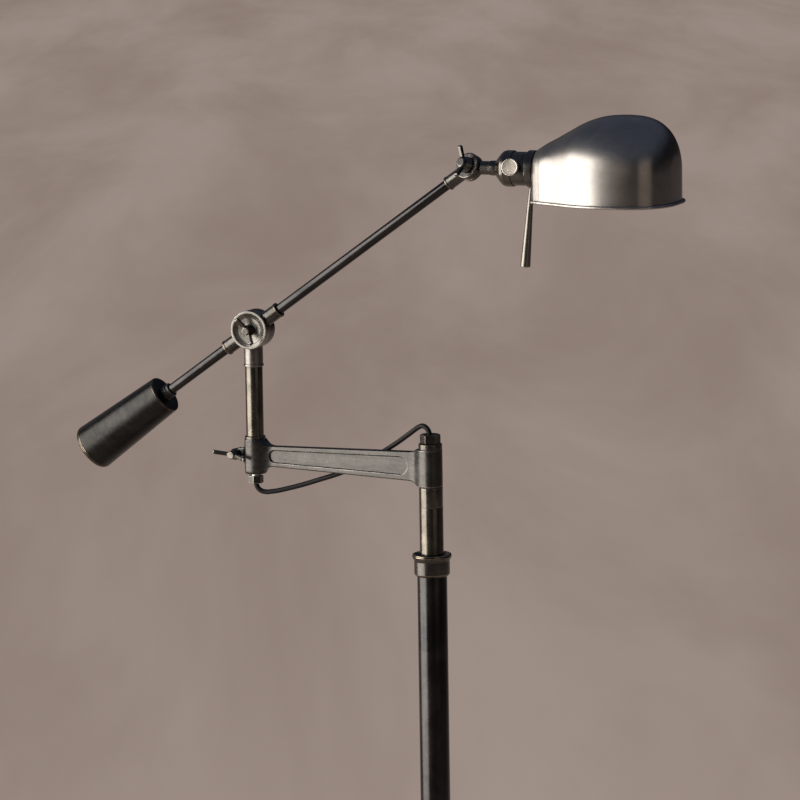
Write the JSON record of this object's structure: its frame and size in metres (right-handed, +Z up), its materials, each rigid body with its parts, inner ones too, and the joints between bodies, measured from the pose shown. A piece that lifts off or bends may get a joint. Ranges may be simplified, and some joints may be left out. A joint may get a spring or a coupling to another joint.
{
  "type": "adjustable arm floor lamp",
  "caption": "Floor lamp with a telescopic column on a round weighted base, a cast swing arm, a tilting boom with a tapered counterweight, and a domed metal shade with handle and dimmer knob.",
  "frame": {"origin": "centre of the underside of the base, on the column axis", "axes": "+Z up along the column; +X horizontal in the vertical plane of the boom, towards the lamp head; +Y to the left of +X"},
  "size_m": [0.6927, 0.2918, 1.5017],
  "materials": {
    "arm_cast": "satin grey casting, lightly brushed",
    "base_shell": "dark satin, spun",
    "black_rubber": "matte",
    "bright_steel": "bright satin steel",
    "bulb_alu": "satin",
    "bulb_glass": "frosted",
    "contact_brass": "plain",
    "gunmetal_tube": "dark oil-rubbed satin, fine lengthwise brushing",
    "gunmetal_turned": "dark satin, turned, worn lighter on edges",
    "iron_weight": "as cast",
    "lead_jacket": "satin",
    "nylon_bush": "matte",
    "phenolic": "matte",
    "pivot_steel": "satin steel, turned face",
    "porcelain_white": "glossy",
    "shade_metal": "brushed pewter, spun",
    "zinc_hardware": "zinc plated"
  },
  "bodies": {
    "base": {"base_pad": "black_rubber", "base_weight": "iron_weight", "base_cover": "base_shell", "base_stem": "zinc_hardware", "base_washer": "zinc_hardware", "base_lock_nut": "zinc_hardware", "base_cord_grommet": "black_rubber", "column_foot": "gunmetal_turned", "column_stem_nut": "zinc_hardware", "column_lower_tube": "gunmetal_tube", "column_guide_bush": "nylon_bush"},
    "collar": {"height_collar": "gunmetal_turned"},
    "mast": {"mast_tube": "gunmetal_tube", "mast_guide_ring": "nylon_bush", "mast_cap": "gunmetal_turned", "arm_spindle": "zinc_hardware", "spindle_lock_nut": "zinc_hardware", "swing_washer": "black_rubber", "top_ring": "gunmetal_turned", "top_cord_nut": "gunmetal_turned"},
    "arm": {"swing_arm": "arm_cast", "arm_bushes": "nylon_bush", "link_lead": "lead_jacket"},
    "clamp_screw": {"arm_clamp_screw": "gunmetal_turned"},
    "post": {"post_tube": "gunmetal_tube", "post_plug": "zinc_hardware", "post_collar": "gunmetal_turned", "post_cord_nut": "arm_cast", "pivot_front_disc": "pivot_steel", "pivot_washer": "black_rubber"},
    "pivot_screw": {"pivot_wing_screw": "gunmetal_turned"},
    "boom": {"pivot_rear_disc": "gunmetal_turned", "pivot_nut": "zinc_hardware", "boom_rear_tube": "gunmetal_tube", "weight_collar": "phenolic", "counterweight": "gunmetal_turned", "weight_set_screw": "phenolic"},
    "boom_tube": {"boom_front_tube": "gunmetal_tube", "knuckle_front": "gunmetal_turned", "knuckle_washer": "black_rubber"},
    "knuckle_screw": {"knuckle_wing_screw": "gunmetal_turned"},
    "neck": {"knuckle_rear": "gunmetal_turned", "swivel_pin": "zinc_hardware", "swivel_nut": "zinc_hardware"},
    "head": {"head_swivel": "gunmetal_turned", "socket_cup": "gunmetal_turned", "socket_housing": "gunmetal_turned", "dimmer_switch": "phenolic", "lampholder": "porcelain_white", "lamp_contact": "contact_brass", "shade_ring": "gunmetal_turned", "shade": "shade_metal", "shade_retainer": "gunmetal_turned", "handle": "bright_steel", "bulb_cap": "bulb_alu", "bulb_glass": "bulb_glass"},
    "knob": {"dimmer_knob": "bright_steel"}
  },
  "joints": [
    {"name": "mast_height", "type": "slide", "parent": "base", "child": "mast", "axis": [0, 0, 1], "range_m": [-0.045, 0.2]},
    {"name": "collar_twist", "type": "hinge", "parent": "base", "child": "collar", "pos_m": [0, 0, 1.02], "axis": [0, 0, 1], "range_deg": [0, 120]},
    {"name": "arm_swing", "type": "hinge", "parent": "mast", "child": "arm", "pos_m": [0, 0, 1.1269], "axis": [0, 0, 1], "range_deg": [-175, 175]},
    {"name": "clamp_screw_turn", "type": "hinge", "parent": "arm", "child": "clamp_screw", "pos_m": [-0.23399, 0.02666, 1.1269], "axis": [-0.1132, -0.9936, 0], "range_deg": [-30, 180]},
    {"name": "post_swivel", "type": "hinge", "parent": "arm", "child": "post", "pos_m": [-0.21262, 0.02423, 1.1269], "axis": [0, 0, 1], "range_deg": [-160, 150]},
    {"name": "pivot_screw_turn", "type": "hinge", "parent": "post", "child": "pivot_screw", "pos_m": [-0.21262, 0.02423, 1.2637], "axis": [0, -1, 0], "range_deg": [-30, 180]},
    {"name": "boom_tilt", "type": "hinge", "parent": "post", "child": "boom", "pos_m": [-0.21262, 0.02423, 1.2637], "axis": [0, -1, 0], "range_deg": [-58, 2]},
    {"name": "boom_roll", "type": "hinge", "parent": "boom", "child": "boom_tube", "pos_m": [-0.21262, 0.02423, 1.2637], "axis": [0.8151, 0, 0.5793], "range_deg": [-90, 90]},
    {"name": "knuckle_screw_turn", "type": "hinge", "parent": "boom_tube", "child": "knuckle_screw", "pos_m": [0.04007, 0.02423, 1.44328], "axis": [-0.2984, -0.8572, 0.4198], "range_deg": [-30, 180]},
    {"name": "head_tilt", "type": "hinge", "parent": "boom_tube", "child": "neck", "pos_m": [0.04007, 0.02423, 1.44328], "axis": [-0.2984, -0.8572, 0.4198], "range_deg": [-70, 80]},
    {"name": "head_swivel_turn", "type": "hinge", "parent": "neck", "child": "head", "pos_m": [0.04007, 0.02423, 1.44328], "axis": [1, 0, 0], "range_deg": [-170, 170]},
    {"name": "dimmer_turn", "type": "hinge", "parent": "head", "child": "knob", "pos_m": [0.09327, 0.02423, 1.44328], "axis": [0, -0.9877, 0.1564], "range_deg": [0, 300]}
  ]
}
